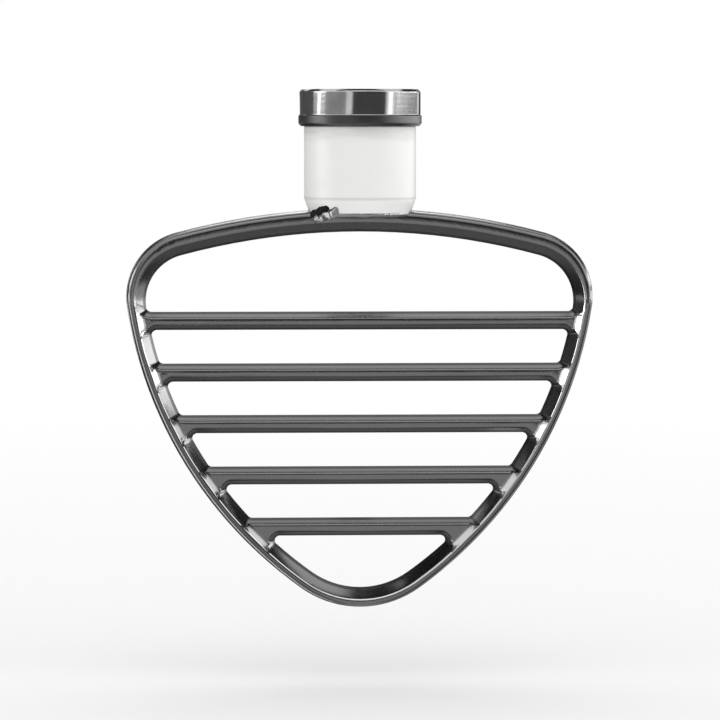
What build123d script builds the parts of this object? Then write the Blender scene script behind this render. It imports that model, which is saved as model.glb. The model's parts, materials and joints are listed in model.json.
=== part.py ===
# Pastry beater: a cast steel frame of a shield-shaped rim with five cutting bars, a turned hub
# with a bore and a bayonet slot, and a polished collar round the hub's mouth.
# Millimetres. The bore's axis is Z, its mouth is at the origin, the bars run along X.
import os
from math import acos, atan2, degrees, hypot, radians, tan

from build123d import *

os.makedirs("parts", exist_ok=True)

# Rim, seen from the front: four radii that run into each other without a corner
rim_half_width = 68.2
rim_crown_z = -34.6
rim_tip_z = -151.7
crown_radius = 208.0
corner_radius = 19.5
flank_radius = 125.0
tip_radius = 30.0
rim_wall = 5.7
crown_wall = 6.8

# Rim, in section: widest at the middle plane, drafted towards the front and the back
rim_depth = 11.0
outer_draft = 6.0
inner_draft = 28.5
rim_outer_round = 1.8

# Cutting bars: six-sided section with the rim's inner draft, set back from the front of the rim,
# with a sloped root at each end that climbs to the rim's front
bar_count = 5
bar_first_z = -67.4
bar_pitch = 15.15
bar_height = 5.5
bar_depth = 6.6
bar_end_fillet = 1.3
bar_root = 0.9

# Hub and its bore
nominal_bore = 12.7
bore_clearance = 0.1
bore_depth = 29.0
neck_diameter = 32.6
foot_diameter = 29.4
foot_height = 4.6
saddle_depth = 1.6
spigot_diameter = 25.0

# Collar pressed over the hub's spigot
collar_diameter = 35.2
collar_height = 10.8
collar_top_chamfer = 0.8
lip_height = 3.2
lip_step = 0.35
lip_chamfer = 0.8

# Bayonet slot for a cross pin, at the back
pin_diameter = 4.8
pin_clearance = 0.6
slot_depth = 14.6
slot_turn = 38.0
slot_hook = 1.4

bore_radius = nominal_bore / 2 + bore_clearance
slot_width = pin_diameter + pin_clearance
slot_reach = collar_diameter
foot_z = rim_crown_z - saddle_depth
half_depth = rim_depth / 2
outer_inset = half_depth * tan(radians(outer_draft))
inner_flare = half_depth * tan(radians(inner_draft))
bar_flare = bar_depth / 2 * tan(radians(inner_draft))


def rim_outline(inset, crown_inset):
    # Closed outline of the rim, moved in from its outer edge; drawn in the open BuildLine
    crown_r = crown_radius - crown_inset
    corner_r = corner_radius - inset
    flank_r = flank_radius - inset
    tip_r = tip_radius - inset
    crown = Vector(0, rim_crown_z - crown_radius)
    tip = Vector(0, rim_tip_z + tip_radius)
    corner_x = rim_half_width - corner_radius
    corner = Vector(corner_x, crown.Y + ((crown_r - corner_r) ** 2 - corner_x**2) ** 0.5)
    # The flank's centre lies a known distance from the corner's centre and from the tip's centre
    to_corner = flank_r - corner_r
    to_tip = flank_r - tip_r
    span = hypot(corner.X - tip.X, corner.Y - tip.Y)
    heading = degrees(atan2(tip.Y - corner.Y, tip.X - corner.X))
    opening = degrees(acos((to_corner**2 + span**2 - to_tip**2) / (2 * to_corner * span)))
    flank = corner + Vector(to_corner, 0).rotate(Axis.Z, heading - opening)
    crown_angle = degrees(atan2(corner.Y - crown.Y, corner.X - crown.X))
    corner_angle = degrees(atan2(corner.Y - flank.Y, corner.X - flank.X))
    flank_angle = degrees(atan2(tip.Y - flank.Y, tip.X - flank.X))
    CenterArc(crown, crown_r, crown_angle, 180 - 2 * crown_angle)
    right_corner = CenterArc(corner, corner_r, corner_angle, crown_angle - corner_angle)
    right_flank = CenterArc(flank, flank_r, flank_angle, corner_angle - flank_angle)
    mirror([right_corner, right_flank], about=Plane.YZ)
    CenterArc(tip, tip_r, 180 - flank_angle, 180 + 2 * flank_angle)


def rim_section(depth, inset, crown_inset):
    # The same outline as a face, some way in front of the middle plane
    with BuildSketch(Plane.XZ.offset(depth)) as section:
        with BuildLine():
            rim_outline(inset, crown_inset)
        make_face()
    return section.sketch


# Space inside the rim, with the bars left standing in it
with BuildPart() as windows:
    for index in range(bar_count + 1):
        top_z = bar_first_z - (index - 1) * bar_pitch - bar_height / 2 if index > 0 else rim_crown_z
        bottom_z = bar_first_z - index * bar_pitch + bar_height / 2 if index < bar_count else rim_tip_z
        with BuildSketch(Plane.XZ) as window:
            with BuildLine():
                rim_outline(rim_wall, crown_wall)
            make_face()
            with Locations((0, (top_z + bottom_z) / 2)):
                Rectangle(2 * rim_half_width, top_z - bottom_z, mode=Mode.INTERSECT)
            offset(amount=-bar_end_fillet, kind=Kind.INTERSECTION, mode=Mode.REPLACE)
            offset(amount=bar_end_fillet, kind=Kind.ARC, mode=Mode.REPLACE)
        extrude(amount=half_depth, both=True, taper=-inner_draft)
    for side in (-1, 1):
        root_inset = bar_root - bar_flare
        bar_face = rim_section(side * bar_depth / 2, rim_wall + root_inset, crown_wall + root_inset)
        rim_face = rim_section(side * half_depth, rim_wall - inner_flare, crown_wall - inner_flare)
        loft([bar_face, rim_face], ruled=True)

# Cast frame
with BuildPart() as frame:
    rim_back = rim_section(-half_depth, outer_inset, outer_inset)
    rim_middle = rim_section(0, 0, 0)
    rim_front = rim_section(half_depth, outer_inset, outer_inset)
    loft([rim_back, rim_middle, rim_front], ruled=True)
    outer_edges = frame.edges().group_by(Axis.Y)
    fillet(outer_edges[0] + outer_edges[-1], radius=rim_outer_round)
    add(windows.part, mode=Mode.SUBTRACT)
frame.part.label = "frame"
export_step(frame.part, "parts/frame.step")

# Path of the cross pin: down from the mouth, round the axis, then up into a short hook
with BuildPart() as pin_path:
    with BuildSketch(Plane.XZ):
        with Locations((0, -slot_depth / 2)):
            Rectangle(slot_width, slot_depth)
        with Locations((0, -slot_depth)):
            Circle(slot_width / 2)
    extrude(amount=-slot_reach)
    with BuildSketch(Plane.YZ):
        with Locations((slot_reach / 2, -slot_depth)):
            Rectangle(slot_reach, slot_width)
    revolve(axis=Axis.Z, revolution_arc=-slot_turn)
    with BuildSketch(Plane.XZ.rotated((0, 0, -slot_turn))):
        with Locations((0, -slot_depth + slot_hook / 2)):
            SlotCenterToCenter(slot_hook, slot_width, rotation=90)
    extrude(amount=-slot_reach)

# Turned hub, let into the rim's crown by a shallow saddle
with BuildPart() as hub:
    with BuildSketch(Plane.XZ):
        with BuildLine():
            Polyline(
                (0, foot_z),
                (foot_diameter / 2, foot_z),
                (neck_diameter / 2, foot_z + foot_height),
                (neck_diameter / 2, -collar_height),
                (spigot_diameter / 2, -collar_height),
                (spigot_diameter / 2, 0),
                (0, 0),
                close=True,
            )
        make_face()
    revolve(axis=Axis.Z)
    with Locations((0, 0, 0)):
        Hole(bore_radius, bore_depth)
    add(pin_path.part, mode=Mode.SUBTRACT)
    add(frame.part, mode=Mode.SUBTRACT)
hub.part.label = "hub"
export_step(hub.part, "parts/hub.step")

# Polished collar, with a lip along its lower edge
with BuildPart() as collar:
    with BuildSketch(Plane.XY.offset(-collar_height)):
        Circle(collar_diameter / 2)
        Circle(spigot_diameter / 2, mode=Mode.SUBTRACT)
    extrude(amount=collar_height)
    top_edge = collar.edges().group_by(Axis.Z)[-1].sort_by(SortBy.LENGTH)[-1]
    chamfer(top_edge, length=collar_top_chamfer)
    with BuildSketch(Plane.XY.offset(-collar_height)):
        Circle(collar_diameter / 2 + lip_step)
        Circle(spigot_diameter / 2, mode=Mode.SUBTRACT)
    extrude(amount=lip_height)
    lip_edges = collar.edges().group_by(SortBy.LENGTH)[-1].sort_by(Axis.Z)
    chamfer(lip_edges[0], length=lip_chamfer)
    add(pin_path.part, mode=Mode.SUBTRACT)
collar.part.label = "collar"
export_step(collar.part, "parts/collar.step")
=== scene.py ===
import json
import random
from math import atan2, cos, hypot, pi, radians, sin

import bmesh
import bpy
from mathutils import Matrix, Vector

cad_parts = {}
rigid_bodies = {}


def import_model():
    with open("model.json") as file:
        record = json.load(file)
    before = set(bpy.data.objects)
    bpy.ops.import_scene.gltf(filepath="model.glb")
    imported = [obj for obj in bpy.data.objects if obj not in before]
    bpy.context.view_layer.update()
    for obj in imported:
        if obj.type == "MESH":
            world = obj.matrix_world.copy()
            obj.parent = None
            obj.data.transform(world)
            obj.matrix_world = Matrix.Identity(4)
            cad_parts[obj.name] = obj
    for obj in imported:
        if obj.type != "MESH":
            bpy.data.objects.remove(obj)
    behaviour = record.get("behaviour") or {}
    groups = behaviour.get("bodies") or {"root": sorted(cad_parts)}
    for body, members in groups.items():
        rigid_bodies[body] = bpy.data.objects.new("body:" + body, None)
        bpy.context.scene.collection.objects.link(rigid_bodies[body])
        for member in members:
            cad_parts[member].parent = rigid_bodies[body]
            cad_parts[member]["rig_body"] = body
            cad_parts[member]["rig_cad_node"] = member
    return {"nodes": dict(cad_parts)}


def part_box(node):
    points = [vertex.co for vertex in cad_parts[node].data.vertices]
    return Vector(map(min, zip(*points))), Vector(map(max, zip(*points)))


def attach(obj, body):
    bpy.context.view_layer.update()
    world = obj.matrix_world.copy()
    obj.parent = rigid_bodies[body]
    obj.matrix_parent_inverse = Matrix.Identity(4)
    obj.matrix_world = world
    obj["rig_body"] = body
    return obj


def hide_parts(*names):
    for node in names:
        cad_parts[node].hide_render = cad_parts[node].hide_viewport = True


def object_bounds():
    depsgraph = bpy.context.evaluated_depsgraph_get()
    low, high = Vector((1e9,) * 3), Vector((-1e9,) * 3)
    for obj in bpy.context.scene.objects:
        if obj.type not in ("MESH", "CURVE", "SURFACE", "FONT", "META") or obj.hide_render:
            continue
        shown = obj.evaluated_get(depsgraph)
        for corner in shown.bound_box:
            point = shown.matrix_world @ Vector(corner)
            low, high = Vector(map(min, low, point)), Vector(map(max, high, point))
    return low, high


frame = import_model()
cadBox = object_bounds()
print("frame loaded:", ", ".join(sorted(frame["nodes"])))


class Wire:
    # one output socket; sums and products of wires become Math nodes
    def __init__(self, tree, socket=None):
        self.tree = tree
        self.socket = socket

    def node(self, kind, settings=None, sockets=None, output=0):
        made = self.tree.nodes.new(kind)
        for name, value in (settings or {}).items():
            setattr(made, name, value)
        for key, value in (sockets or {}).items():
            if isinstance(value, Wire):
                self.tree.links.new(value.socket, made.inputs[key])
            else:
                made.inputs[key].default_value = value
        return Wire(self.tree, made.outputs[output] if len(made.outputs) else None)

    def math(self, operation, first, second=0.0):
        return self.node("ShaderNodeMath", {"operation": operation}, {0: first, 1: second})

    def vector(self, operation, sockets, output=0):
        return self.node("ShaderNodeVectorMath", {"operation": operation}, sockets, output)

    def __add__(self, other):
        return self.math("ADD", self, other)

    def __radd__(self, other):
        return self.math("ADD", other, self)

    def __sub__(self, other):
        return self.math("SUBTRACT", self, other)

    def __rsub__(self, other):
        return self.math("SUBTRACT", other, self)

    def __mul__(self, other):
        return self.math("MULTIPLY", self, other)

    def __rmul__(self, other):
        return self.math("MULTIPLY", other, self)

    def __pow__(self, other):
        return self.math("POWER", self, other)


def grey(level):
    return (level, level, level, 1.0)


def openMaterial(name):
    material = bpy.data.materials.new(name)
    material.use_nodes = True
    material.node_tree.nodes.clear()
    return material, Wire(material.node_tree)


def part(vector, index):
    return vector.node("ShaderNodeSeparateXYZ", {}, {0: vector}, index)


def absolute(value):
    return value.math("ABSOLUTE", value)


def smooth(value, low, high):
    return value.node(
        "ShaderNodeMapRange",
        {"interpolation_type": "SMOOTHSTEP"},
        {"Value": value, "From Min": low, "From Max": high},
    )


def noise(place, scale, detail, rough):
    return place.node(
        "ShaderNodeTexNoise",
        {},
        {"Vector": place, "Scale": scale, "Detail": detail, "Roughness": rough},
    )


def sway(texture, amount):
    # how far a texture departs from its middle
    return (texture - 0.5) * amount


def stretch(place, scale):
    return place.node("ShaderNodeMapping", {}, {"Vector": place, "Scale": scale})


def mixGrey(amount, low, high):
    return amount.node("ShaderNodeMix", {"data_type": "RGBA"}, {0: amount, 6: low, 7: high}, 2)


def bump(height, depth, strength):
    return height.node(
        "ShaderNodeBump",
        {},
        {"Height": height, "Distance": depth, "Strength": strength},
    )


def glow(start, level):
    return start.node("ShaderNodeEmission", {}, {"Color": grey(1.0), "Strength": level})


def coverWith(start, sockets):
    shader = start.node("ShaderNodeBsdfPrincipled", {}, sockets, "BSDF")
    start.node("ShaderNodeOutputMaterial", {}, {"Surface": shader})


# How the brush marks lie on the casting: round a pole inside the rim, or along a bar
castingLay = {
    "name": "alongCasting",
    "pole": -0.085,
    "reach": 0.07,
    "barMargin": 0.0002,
    "barSideways": 0.2,
}

# Satin cast steel of the rim and bars; textures by scale, detail and roughness
satinSteel = {
    "castGrey": 0.18,
    "landGrey": 0.20,
    # the worn sheen is a painted highlight along the inner ridge and bar roots, with some edge wear
    "wornSheenGrey": 0.60,
    # the parting band is partly the casting's parting line, partly a painted dark reflection
    "partingShadeGrey": 0.075,
    "castRough": 0.19,
    "landRough": 0.16,
    "wornSheenRough": 0.12,
    "cloud": (150.0, 4.0, 0.5),
    "grain": (2600.0, 2.0, 0.6),
    "brush": (1.0, 3.0, 0.6),
    "brushStretch": (55.0, 1700.0, 1.0),
    "landFacing": (0.80, 0.97),
    "partingShadeDepth": (0.00102, 0.0017),
    "ridgeInward": (0.10, 0.28),
    "ridgeFacing": (0.52, 0.62),
    "wornSheenDepth": (0.0036, 0.0042),
    "wornSheenBelow": (-0.064, -0.050),
    "shade": 0.80,
    "cloudShade": 0.22,
    "brushShade": 0.14,
    "grainShade": 0.06,
    "cloudRough": 0.10,
    "brushRough": 0.12,
    "partingShadeRough": 0.12,
    "grainRelief": 0.5,
    "landLoss": 0.4,
    "relief": (0.00003, 0.5),
}


def makeSatinSteel(look, lay):
    material, start = openMaterial("satinSteel")
    place = start.node("ShaderNodeTexCoord", {}, {}, "Object")
    facing = start.node("ShaderNodeTexCoord", {}, {}, "Normal")
    along = start.node("ShaderNodeUVMap", {"uv_map": lay["name"]})
    cloud = noise(place, *look["cloud"])
    grain = noise(place, *look["grain"])
    brush = noise(stretch(along, look["brushStretch"]), *look["brush"])
    frontal = absolute(part(facing, 1))
    depth = absolute(part(place, 1))
    height = part(place, 2)
    land = smooth(frontal, *look["landFacing"])
    # darker band at the middle depth: partly the parting line, partly a painted dark reflection
    partingAndShade = 1 - smooth(depth, *look["partingShadeDepth"])
    # the ridge and the bar roots face the middle of the rim, between the land and the inner wall
    away = start.vector("SUBTRACT", {0: place, 1: (0.0, 0.0, lay["pole"])})
    away = start.vector("NORMALIZE", {0: away})
    inward = 0 - start.vector("DOT_PRODUCT", {0: away, 1: facing}, 1)
    ridge = smooth(inward, *look["ridgeInward"]) * smooth(frontal, *look["ridgeFacing"])
    # bright band on the inner ridge and bar roots of the lower bars: a painted highlight, with some edge
    # wear
    wornAndSheen = ridge * smooth(depth, *look["wornSheenDepth"]) * (1 - smooth(height, *look["wornSheenBelow"]))
    tone = mixGrey(land, grey(look["castGrey"]), grey(look["landGrey"]))
    tone = mixGrey(partingAndShade, tone, grey(look["partingShadeGrey"]))
    shade = look["shade"] + look["cloudShade"] * cloud
    shade = shade + look["brushShade"] * brush + look["grainShade"] * grain
    tone = tone.vector("SCALE", {0: tone, "Scale": shade})
    tone = mixGrey(wornAndSheen, tone, grey(look["wornSheenGrey"]))
    rough = look["castRough"] + land * (look["landRough"] - look["castRough"])
    rough = rough + sway(cloud, look["cloudRough"]) + sway(brush, look["brushRough"])
    rough = rough + partingAndShade * look["partingShadeRough"]
    rough = rough + wornAndSheen * (look["wornSheenRough"] - look["castRough"])
    relief = grain * (look["grainRelief"] - look["landLoss"] * land) + brush * land
    coverWith(
        start,
        {
            "Base Color": tone,
            "Metallic": 1.0,
            "Roughness": rough,
            "Normal": bump(relief, *look["relief"]),
        },
    )
    return material


# Off-white satin coat of the hub, with painted shade under the collar and along the foot line, and a little
# random dust
paleCoat = {
    "coatGrey": (0.84, 0.838, 0.828, 1.0),
    "dustShadeGrey": (0.56, 0.558, 0.55, 1.0),
    "rough": 0.40,
    "cloud": (120.0, 4.0, 0.5),
    "peel": (1500.0, 2.0, 0.5),
    "streak": (1.0, 3.0, 0.5),
    "streakStretch": (70.0, 70.0, 420.0),
    "streakShift": 0.004,
    "underCollar": (-0.0158, -0.0108),
    "footHeight": -0.0316,
    "footLine": (0.0001, 0.0007),
    "cloudFrom": (0.45, 0.8),
    "collarShade": 0.75,
    "leastCollarShade": 0.4,
    "footShade": 0.6,
    "cloudDust": 0.12,
    "cloudRough": 0.2,
    "dustShadeRough": 0.12,
    "relief": (0.00002, 0.4),
}


def makePaleCoat(look):
    material, start = openMaterial("paleCoat")
    place = start.node("ShaderNodeTexCoord", {}, {}, "Object")
    height = part(place, 2)
    cloud = noise(place, *look["cloud"])
    peel = noise(place, *look["peel"])
    streak = noise(stretch(place, look["streakStretch"]), *look["streak"])
    # painted shade under the collar, streaked, strongest just below it
    underCollar = smooth(height + sway(streak, look["streakShift"]), *look["underCollar"])
    # painted shade along the crease where the neck meets the foot
    overFoot = 1 - smooth(absolute(height - look["footHeight"]), *look["footLine"])
    # one mask for the painted shade and a little random dust
    dustAndShade = underCollar * look["collarShade"] * (look["leastCollarShade"] + streak)
    dustAndShade = dustAndShade + overFoot * look["footShade"]
    dustAndShade = dustAndShade + smooth(cloud, *look["cloudFrom"]) * look["cloudDust"]
    dustAndShade = dustAndShade.math("MINIMUM", dustAndShade, 1.0)
    tone = mixGrey(dustAndShade, look["coatGrey"], look["dustShadeGrey"])
    rough = look["rough"] + sway(cloud, look["cloudRough"]) + dustAndShade * look["dustShadeRough"]
    coverWith(
        start,
        {
            "Base Color": tone,
            "Roughness": rough,
            "Normal": bump(peel, *look["relief"]),
        },
    )
    return material


# Polished and turned steel of the collar, with its lower lip painted dark as a painted dark reflection
polishedSteel = {
    "bright": 0.53,
    "dull": 0.42,
    "lipShadeGrey": 0.09,
    "rough": 0.075,
    "lipRough": 0.34,
    "ringScale": 5200.0,
    "rings": {"Scale": 1.0, "Detail": 3.0, "Roughness": 0.7},
    "smudge": (210.0, 4.0, 0.5),
    "smudgeFrom": (0.35, 0.75),
    "lipTop": (-0.0078, -0.0075),
    "smudgeRough": 0.05,
    "turnedRough": 0.03,
    "relief": (0.000006, 0.5),
}


def makePolishedSteel(look):
    material, start = openMaterial("polishedSteel")
    place = start.node("ShaderNodeTexCoord", {}, {}, "Object")
    sideways, inward, height = (part(place, index) for index in range(3))
    radius = (sideways * sideways + inward * inward) ** 0.5
    turned = start.node(
        "ShaderNodeTexNoise",
        {"noise_dimensions": "1D"},
        {"W": (radius + height) * look["ringScale"], **look["rings"]},
    )
    smudge = noise(place, *look["smudge"])
    lip = 1 - smooth(height, *look["lipTop"])
    dulled = smooth(smudge, *look["smudgeFrom"])
    tone = mixGrey(dulled, grey(look["bright"]), grey(look["dull"]))
    # the lower lip painted near black: a painted dark reflection
    tone = mixGrey(lip, tone, grey(look["lipShadeGrey"]))
    rough = look["rough"] + smudge * look["smudgeRough"] + turned * look["turnedRough"]
    rough = rough + lip * (look["lipRough"] - look["rough"])
    coverWith(
        start,
        {
            "Base Color": tone,
            "Metallic": 1.0,
            "Roughness": rough,
            "Normal": bump(turned, *look["relief"]),
        },
    )
    return material


# Turns of an edge in degrees, for flattening, easing and smooth shading, and the merging distance
dressing = {"merge": 0.000002, "anyTurn": -1.0, "flatTurn": 0.3, "easedTurn": 24.0, "smoothTurn": 40.0}


def selectEdges(piece, sharper, chosen, hollows):
    # edges that turn by more than an angle and lie where chosen says
    mesh = bmesh.from_edit_mesh(piece.data)
    for edge in mesh.edges:
        first, second = (corner.co for corner in edge.verts)
        turn = edge.calc_face_angle_signed(0.0)
        turn = abs(turn) if hollows else turn
        edge.select_set(turn > radians(sharper) and chosen((first + second) / 2, second - first))
    bmesh.update_edit_mesh(piece.data)


def dressNode(node, name, edges, material):
    # a merged copy of the solid with its chosen edges eased
    bpy.ops.object.select_all(action="DESELECT")
    source = frame["nodes"][node]
    source.select_set(True)
    bpy.context.view_layer.objects.active = source
    bpy.ops.object.duplicate()
    piece = bpy.context.view_layer.objects.active
    piece.name = name
    piece.data.name = name
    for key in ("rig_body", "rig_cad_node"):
        del piece[key]
    piece.parent = None
    bpy.ops.object.mode_set(mode="EDIT")
    bpy.ops.mesh.select_mode(type="EDGE")
    bpy.ops.mesh.select_all(action="SELECT")
    bpy.ops.mesh.remove_doubles(threshold=dressing["merge"])
    bpy.ops.mesh.customdata_custom_splitnormals_clear()
    bpy.ops.mesh.select_all(action="DESELECT")
    selectEdges(piece, dressing["anyTurn"], edges["flat"], True)
    bpy.ops.mesh.dissolve_limited(angle_limit=radians(dressing["flatTurn"]))
    for width, chosen in edges["eased"]:
        bpy.ops.mesh.select_all(action="DESELECT")
        selectEdges(piece, dressing["easedTurn"], chosen, edges["hollows"])
        bpy.ops.mesh.bevel(
            offset=width, segments=edges["steps"], affect="EDGES", clamp_overlap=False
        )
    bpy.ops.object.mode_set(mode="OBJECT")
    bpy.ops.object.shade_smooth_by_angle(angle=radians(dressing["smoothTurn"]))
    evening = piece.modifiers.new("flatFaces", "WEIGHTED_NORMAL")
    evening.keep_sharp = True
    bpy.ops.object.modifier_apply(modifier=evening.name)
    piece.data.materials.clear()
    piece.data.materials.append(material)
    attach(piece, "root")
    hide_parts(node)
    print("dressed", name, len(piece.data.polygons), "faces")
    return piece


# Where an edge lies: half depths of the rim and the bars, and how close counts as there
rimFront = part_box("frame")[1].y
barFront = 0.0033
edgeRule = {
    "close": 0.00005,
    "level": 0.00001,
    "barLeast": 0.004,
    "barMargin": 0.0001,
    "mouthAbove": -0.020,
}


def onLand(middle, along):
    return abs(middle.y) > rimFront - edgeRule["close"]


def onBar(middle, along):
    return abs(along.y) < edgeRule["level"] and abs(abs(middle.y) - barFront) < edgeRule["close"]


def onRidge(middle, along):
    level = abs(along.z) < edgeRule["level"] and abs(along.x) > edgeRule["barLeast"]
    return level and abs(middle.y) < edgeRule["close"]


def onMouth(middle, along):
    return middle.z > edgeRule["mouthAbove"]


def behindLand(middle, along):
    return abs(middle.y) < barFront + edgeRule["barMargin"]


def everywhere(middle, along):
    return True


def nowhere(middle, along):
    return False


frameEdges = {
    "flat": behindLand,
    "eased": ((0.0005, onLand), (0.0005, onBar), (0.0003, onRidge)),
    "hollows": False,
    "steps": 3,
}
hubEdges = {"flat": nowhere, "eased": ((0.0003, onMouth),), "hollows": True, "steps": 2}
collarEdges = {"flat": nowhere, "eased": ((0.00025, everywhere),), "hollows": True, "steps": 3}


def layAlong(piece, lay):
    # u runs round the rim or along a bar, v runs across it, both in metres
    layer = piece.data.uv_layers.new(name=lay["name"])
    for face in piece.data.polygons:
        onCrossBar = abs(face.center.y) < barFront + lay["barMargin"]
        onCrossBar = onCrossBar and abs(face.normal.x) < lay["barSideways"]
        heading = atan2(face.center.z - lay["pole"], face.center.x)
        for corner in face.loop_indices:
            place = piece.data.vertices[piece.data.loops[corner].vertex_index].co
            if onCrossBar:
                layer.data[corner].uv = (place.x, place.z + place.y)
                continue
            turn = atan2(place.z - lay["pole"], place.x) - heading
            turn = (turn + pi) % (2 * pi) - pi
            away = hypot(place.z - lay["pole"], place.x)
            layer.data[corner].uv = ((heading + turn) * lay["reach"], away + place.y)


satinFinish = makeSatinSteel(satinSteel, castingLay)
coatFinish = makePaleCoat(paleCoat)
polishedFinish = makePolishedSteel(polishedSteel)
castFrame = dressNode("frame", "castFrame", frameEdges, satinFinish)
layAlong(castFrame, castingLay)
dressNode("hub", "paleHub", hubEdges, coatFinish)
dressNode("collar", "polishedCollar", collarEdges, polishedFinish)


# Welds that hold the foot of the hub to the crown, once at the front and once at the back: a lumpy
# tack in four short runs, given by place and radius, and a thin seam that goes on round the foot
footWeld = {
    "runs": (
        (
            ((-0.0134, -0.0064, -0.0362), 0.0014),
            ((-0.0114, -0.0093, -0.0353), 0.0015),
            ((-0.0092, -0.0119, -0.0339), 0.0007),
        ),
        (
            ((-0.0131, -0.0066, -0.0379), 0.0008),
            ((-0.0106, -0.0089, -0.0370), 0.0013),
            ((-0.0078, -0.0123, -0.0357), 0.0015),
        ),
        (
            ((-0.0078, -0.0123, -0.0357), 0.0015),
            ((-0.0070, -0.0133, -0.0343), 0.0008),
        ),
        (
            ((-0.0120, -0.0063, -0.0368), 0.0012),
            ((-0.0080, -0.0070, -0.0367), 0.0012),
        ),
    ),
    "pace": 0.0008,
    "unrest": 0.18,
    "stray": 2.0,
    "seamFrom": -26.0,
    "seamTo": 48.0,
    "seamCount": 11,
    "seamReach": 0.0143,
    "seamHeight": -0.0361,
    "seamRadius": 0.0008,
    "sway": 0.05,
    "segments": 14,
    "rings": 8,
    "voxel": 0.0002,
    "easing": 0.5,
    "rounds": 5,
}
weldGrey = {
    "bright": 0.36,
    "paintedShadow": 0.02,
    "rough": 0.34,
    "cloud": (600.0, 4.0, 0.6),
    "scale": (3000.0, 2.0, 0.5),
    "lean": 0.433,
    "level": 0.0314,
    "wander": 0.006,
    "shadowEdge": (-0.0002, 0.0006),
    "tackSide": (0.0, 0.00004),
    "cloudRough": 0.16,
    "shadowRough": 0.3,
    "relief": (0.00003, 0.25),
}


def makeWeldSteel(look):
    material, start = openMaterial("weldSteel")
    place = start.node("ShaderNodeTexCoord", {}, {}, "Object")
    sideways, inward, height = (part(place, index) for index in range(3))
    cloud = noise(place, *look["cloud"])
    scale = noise(place, *look["scale"])
    # painted black shadow of the gap under the foot, above the line along which the tack climbs, but not at
    # the seam's far end
    above = height + look["level"] + look["lean"] * absolute(sideways)
    paintedShadow = smooth(above + sway(cloud, look["wander"]), *look["shadowEdge"])
    paintedShadow = paintedShadow * smooth(sideways * inward, *look["tackSide"])
    tone = mixGrey(paintedShadow, grey(look["bright"]), grey(look["paintedShadow"]))
    rough = look["rough"] + sway(cloud, look["cloudRough"]) + paintedShadow * look["shadowRough"]
    coverWith(
        start,
        {
            "Base Color": tone,
            "Metallic": 1.0,
            "Roughness": rough,
            "Normal": bump(scale, *look["relief"]),
        },
    )
    return material


def seamRun(look, chance):
    # points along the lower edge of the foot
    points = []
    reach = look["seamReach"]
    for index in range(look["seamCount"]):
        share = index / (look["seamCount"] - 1)
        angle = radians(look["seamFrom"] + share * (look["seamTo"] - look["seamFrom"]))
        place = (reach * sin(angle), -reach * cos(angle), look["seamHeight"])
        points.append((place, look["seamRadius"] * (1 + chance.uniform(-1, 1) * look["sway"])))
    return points


def addBall(place, radius, look):
    bpy.ops.mesh.primitive_uv_sphere_add(
        segments=look["segments"], ring_count=look["rings"], radius=radius, location=place
    )


def runWeld(name, look, turn, material):
    # balls set close along each run grow together into one skin
    chance = random.Random(name)
    seam = seamRun(look, chance)
    runs = [(run, look["unrest"]) for run in look["runs"]] + [(seam, look["sway"])]
    lumps = []
    for run, unrest in runs:
        for (first, firstRadius), (second, secondRadius) in zip(run, run[1:]):
            begin, end = Vector(first), Vector(second)
            count = max(2, round((end - begin).length / look["pace"]))
            for index in range(count + 1):
                share = index / count
                radius = firstRadius + share * (secondRadius - firstRadius)
                radius = radius * (1 + chance.uniform(-1, 1) * unrest)
                stray = Vector((chance.uniform(-1, 1), 0.0, chance.uniform(-1, 1)))
                stray = stray * unrest * look["pace"] * look["stray"]
                lumps.append((begin.lerp(end, share) + stray, radius))
    bpy.ops.object.select_all(action="DESELECT")
    addBall(*lumps[0], look)
    piece = bpy.context.view_layer.objects.active
    piece.name = name
    piece.data.name = name
    bpy.ops.object.transform_apply(location=True, rotation=True, scale=True)
    bpy.ops.object.mode_set(mode="EDIT")
    for place, radius in lumps[1:]:
        addBall(place, radius, look)
    bpy.ops.object.mode_set(mode="OBJECT")
    skin = piece.modifiers.new("oneSkin", "REMESH")
    skin.mode = "VOXEL"
    skin.voxel_size = look["voxel"]
    bpy.ops.object.modifier_apply(modifier=skin.name)
    ease = piece.modifiers.new("runTogether", "SMOOTH")
    ease.factor = look["easing"]
    ease.iterations = look["rounds"]
    bpy.ops.object.modifier_apply(modifier=ease.name)
    bpy.ops.object.shade_smooth()
    piece.rotation_euler = (0.0, 0.0, turn)
    bpy.ops.object.transform_apply(location=False, rotation=True, scale=False)
    piece.data.materials.append(material)
    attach(piece, "root")
    print("welded", name, len(piece.data.polygons), "faces")


weldFinish = makeWeldSteel(weldGrey)
runWeld("weldFront", footWeld, 0.0, weldFinish)
runWeld("weldBack", footWeld, pi, weldFinish)


def addPlane(name, size=1.0, place=(0.0, 0.0, 0.0)):
    bpy.ops.object.select_all(action="DESELECT")
    bpy.ops.mesh.primitive_plane_add(size=size, location=place)
    plane = bpy.context.view_layer.objects.active
    plane.name = name
    return plane


# Floor, some way below the tip, that fades into the white around it
floorSet = {
    "size": 8.0,
    "drop": 0.022,
    "tone": 0.95,
    "fade": (0.25, 0.9),
    "speck": (900.0, 3.0, 0.5),
    "speckShade": 0.01,
}
floorLevel = cadBox[0][2] - floorSet["drop"]


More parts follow.
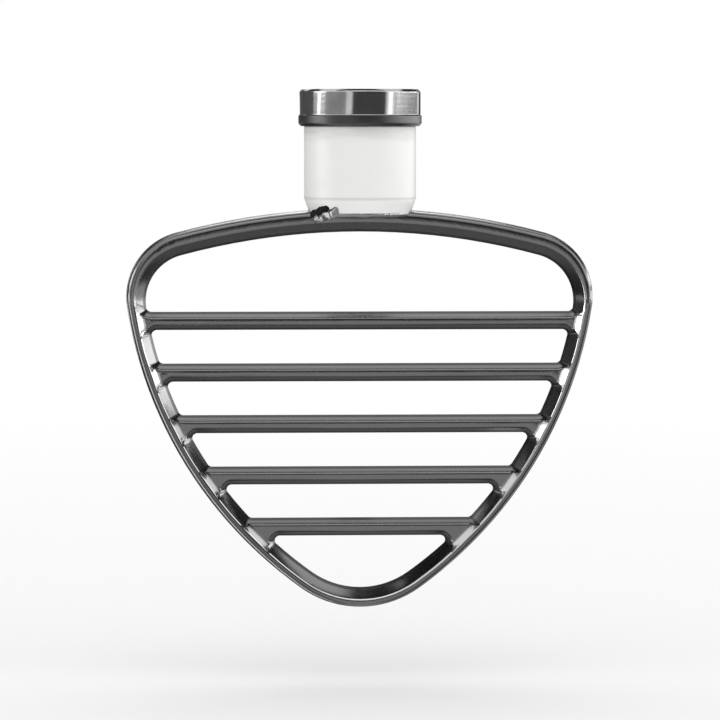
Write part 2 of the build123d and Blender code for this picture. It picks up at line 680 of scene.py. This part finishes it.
def layFloor(look):
    floor = addPlane("floor", look["size"], (0.0, 0.0, floorLevel))
    bpy.ops.object.transform_apply(location=True, rotation=False, scale=False)
    material, start = openMaterial("paleFloor")
    place = start.node("ShaderNodeTexCoord", {}, {}, "Object")
    away = start.vector("LENGTH", {0: place}, 1)
    seen = start.node("ShaderNodeLightPath", {}, {}, "Is Camera Ray")
    dark, pale = (grey(look["tone"] + side * look["speckShade"]) for side in (-1, 1))
    tone = mixGrey(noise(place, *look["speck"]), dark, pale)
    matt = start.node("ShaderNodeBsdfDiffuse", {}, {"Color": tone})
    fade = smooth(away, *look["fade"]) * seen
    mixed = start.node("ShaderNodeMixShader", {}, {0: fade, 1: matt, 2: glow(start, 1.0)})
    start.node("ShaderNodeOutputMaterial", {}, {"Surface": mixed})
    floor.data.materials.append(material)
    print("floor laid at", round(floorLevel, 4))


layFloor(floorSet)


# World: white where it is seen or mirrored, a plain level as light
worldSet = {"shown": 1.0, "light": 0.97}


def lightWorld(look):
    world = bpy.data.worlds.new("studio")
    bpy.context.scene.world = world
    world.use_nodes = True
    world.node_tree.nodes.clear()
    start = Wire(world.node_tree)
    shown = 0.0
    for ray in ("Is Camera Ray", "Is Glossy Ray", "Is Transmission Ray"):
        shown = start.math("MAXIMUM", start.node("ShaderNodeLightPath", {}, {}, ray), shown)
    level = look["light"] + shown * (look["shown"] - look["light"])
    sky = start.node("ShaderNodeBackground", {}, {"Color": grey(1.0), "Strength": level})
    start.node("ShaderNodeOutputWorld", {}, {"Surface": sky})


lightWorld(worldSet)

# Soft boxes, given by bearing from the front, height angle, distance, size and brightness
softBoxes = {
    "keyRight": {"bearing": 62.0, "rise": 24.0, "far": 1.3, "wide": 0.7, "high": 0.8, "level": 0.5},
    "overhead": {"bearing": 180.0, "rise": 60.0, "far": 1.3, "wide": 0.9, "high": 0.6, "level": 0.25},
}

# Cards that only reflections see, given in the same way: first those for the steel's dark and light
# bands, then bright bands at both sides that leave the collar's level to the strip and fill cards
mirrorCards = {
    "cardFront": {"bearing": 16.0, "rise": 14.5, "far": 1.25, "wide": 1.6, "high": 0.78, "level": 0.08},
    "cardBrow": {"bearing": 10.0, "rise": 46.0, "far": 1.25, "wide": 1.3, "high": 0.50, "level": 0.80},
    "cardCrown": {"bearing": 6.0, "rise": 68.0, "far": 1.20, "wide": 1.2, "high": 0.44, "level": 1.7},
    "cardTop": {"bearing": 0.0, "rise": 88.0, "far": 0.9, "wide": 0.8, "high": 0.26, "level": 0.03},
    "cardLeft": {"bearing": -134.0, "rise": 0.0, "far": 1.2, "wide": 1.5, "high": 1.2, "level": 0.12},
    "cardSide": {"bearing": -48.0, "rise": 8.0, "far": 1.25, "wide": 0.9, "high": 0.7, "level": 0.42},
    "cardHighRight": {"bearing": 148.0, "rise": 24.0, "far": 1.2, "wide": 0.5, "high": 0.5, "level": 0.05},
    "cardHighLeft": {"bearing": -133.0, "rise": 38.0, "far": 1.2, "wide": 0.6, "high": 0.5, "level": 0.05},
    "cardBack": {"bearing": 160.0, "rise": 0.0, "far": 1.2, "wide": 0.5, "high": 0.4, "level": 0.05},
    "cornerLeft": {"bearing": -171.0, "rise": 10.5, "far": 1.2, "wide": 0.295, "high": 0.27, "level": 0.05},
    "cornerRight": {"bearing": 169.8, "rise": 9.5, "far": 1.2, "wide": 0.25, "high": 0.31, "level": 0.05},
    "crownGlow": {"bearing": 179.0, "rise": 28.0, "far": 1.15, "wide": 0.36, "high": 0.60, "level": 2.2},
    "cardUnder": {"bearing": 180.0, "rise": -54.0, "far": 0.112, "wide": 0.4, "high": 0.036, "level": 0.28},
    "cardBehind": {"bearing": 180.0, "rise": -38.0, "far": 0.135, "wide": 0.4, "high": 0.05, "level": 0.08},
    "cardOverRight": {"bearing": 121.0, "rise": 33.0, "far": 1.15, "wide": 0.9, "high": 0.62, "level": 0.05},
    "stripRight": {"bearing": 58.0, "rise": 3.0, "far": 1.1, "wide": 0.17, "high": 0.30, "level": 2.4},
    "stripLeft": {"bearing": -86.0, "rise": 3.4, "far": 1.1, "wide": 0.13, "high": 0.10, "level": 2.6},
    "fillSide": {"bearing": -75.2, "rise": 4.0, "far": 1.12, "wide": 0.29, "high": 0.08, "level": 0.25},
    "fillLeft": {"bearing": -97.0, "rise": 4.0, "far": 1.12, "wide": 0.30, "high": 0.08, "level": 0.05},
    "fillRight": {"bearing": 103.0, "rise": 4.0, "far": 1.12, "wide": 1.55, "high": 0.08, "level": 0.30},
    "lowRight": {"bearing": 104.0, "rise": -1.2, "far": 1.15, "wide": 1.5, "high": 0.13, "level": 4.4},
    "highRight": {"bearing": 104.0, "rise": 11.6, "far": 1.15, "wide": 1.5, "high": 0.22, "level": 4.4},
    "lowLeft": {"bearing": -86.0, "rise": -1.2, "far": 1.15, "wide": 0.6, "high": 0.13, "level": 4.4},
    "highLeft": {"bearing": -86.0, "rise": 15.0, "far": 1.15, "wide": 0.6, "high": 0.37, "level": 4.4},
}

# Wedge cards that lie on the floor, from one bearing to the next, for the sides that look down
floorCards = {
    "floorLeftBack": {"from": -170.0, "to": -90.0, "level": 0.06},
    "floorLeftLine": {"from": -90.0, "to": -73.0, "level": 3.2},
    "floorLeftFront": {"from": -73.0, "to": -24.0, "level": 0.40},
    "floorRightFront": {"from": 24.0, "to": 60.0, "level": 0.55},
    "floorRightLine": {"from": 60.0, "to": 82.0, "level": 0.06},
    "floorFront": {"from": -24.0, "to": 24.0, "level": 0.70},
}
floorReach = {"near": 0.012, "far": 0.9, "lift": 0.001}

# Level cards close behind the lowest bars: one on the floor, and two that show only their undersides,
# to the wall over the tip
lowCards = {
    "floorBehind": {"x": (-0.045, 0.045), "y": (0.012, 0.060), "lift": 0.002, "level": 0.28, "below": False},
    "tipShade": {"x": (-0.0066, 0.0038), "y": (0.009, 0.030), "lift": 0.064, "level": 0.02, "below": True},
    "tipGlow": {"x": (0.0038, 0.0210), "y": (0.009, 0.034), "lift": 0.064, "level": 1.4, "below": True},
}

aim = Vector((0.0, 0.0, -0.076))


def standAt(look):
    turn = radians(look["bearing"])
    rise = radians(look["rise"])
    return aim + look["far"] * Vector((sin(turn) * cos(rise), -cos(turn) * cos(rise), sin(rise)))


def turnTo(target, place, front):
    return (target - place).to_track_quat(front, "Y").to_euler()


def hangBoxes(boxes):
    for name, look in boxes.items():
        lamp = bpy.data.lights.new(name, "AREA")
        lamp.shape = "RECTANGLE"
        lamp.size = look["wide"]
        lamp.size_y = look["high"]
        lamp.energy = look["level"] * pi * look["wide"] * look["high"]
        box = bpy.data.objects.new(name, lamp)
        bpy.context.scene.collection.objects.link(box)
        box.location = standAt(look)
        box.rotation_euler = turnTo(aim, box.location, "-Z")
        box.visible_camera = False
    print("hung", len(boxes), "soft boxes")


def finishCard(card, level, below=False):
    material, start = openMaterial(card.name)
    shown = glow(start, level)
    if below:
        facing = start.node("ShaderNodeTexCoord", {}, {}, "Normal")
        upper = start.math("GREATER_THAN", part(facing, 2))
        clear = start.node("ShaderNodeBsdfTransparent")
        shown = start.node("ShaderNodeMixShader", {}, {0: upper, 1: shown, 2: clear})
    start.node("ShaderNodeOutputMaterial", {}, {"Surface": shown})
    card.data.materials.append(material)
    card.visible_camera = False
    card.visible_diffuse = False
    card.visible_transmission = False
    card.visible_shadow = False


def standCards(cards):
    for name, look in cards.items():
        card = addPlane(name)
        card.scale = (look["wide"], look["high"], 1.0)
        card.location = standAt(look)
        card.rotation_euler = turnTo(aim, card.location, "Z")
        bpy.ops.object.transform_apply(location=True, rotation=True, scale=True)
        finishCard(card, look["level"])
    print("stood", len(cards), "cards")


def layCards(cards, reach):
    level = floorLevel + reach["lift"]
    for name, look in cards.items():
        card = addPlane(name)
        ends = [(reach[end], look[side]) for end in ("near", "far") for side in ("from", "to")]
        for corner, (far, bearing) in zip(card.data.vertices, ends):
            turn = radians(bearing)
            corner.co = (far * sin(turn), -far * cos(turn), level)
        finishCard(card, look["level"])
    print("laid", len(cards), "cards")


def layBehind(cards):
    for name, look in cards.items():
        (left, right), (near, far) = look["x"], look["y"]
        place = ((left + right) / 2, (near + far) / 2, floorLevel + look["lift"])
        card = addPlane(name, 1.0, place)
        card.scale = (right - left, far - near, 1.0)
        bpy.ops.object.transform_apply(location=True, rotation=True, scale=True)
        finishCard(card, look["level"], look["below"])
    print("laid", len(cards), "cards behind")


hangBoxes(softBoxes)
standCards(mirrorCards)
layCards(floorCards, floorReach)
layBehind(lowCards)

# Camera, level with the collar and a little to the left
cameraSet = {
    "place": (-0.03, -0.875, -0.011),
    "look": (0.0, 0.0, -0.079),
    "lens": 150.0,
    "sensor": 36.0,
}


def placeCamera(look):
    lens = bpy.data.cameras.new("camera")
    lens.sensor_fit = "HORIZONTAL"
    lens.sensor_width = look["sensor"]
    lens.lens = look["lens"]
    camera = bpy.data.objects.new("camera", lens)
    bpy.context.scene.collection.objects.link(camera)
    camera.location = look["place"]
    camera.rotation_euler = turnTo(Vector(look["look"]), camera.location, "-Z")
    bpy.context.scene.camera = camera
    print("camera set")


placeCamera(cameraSet)
bpy.context.scene.view_settings.view_transform = "Standard"
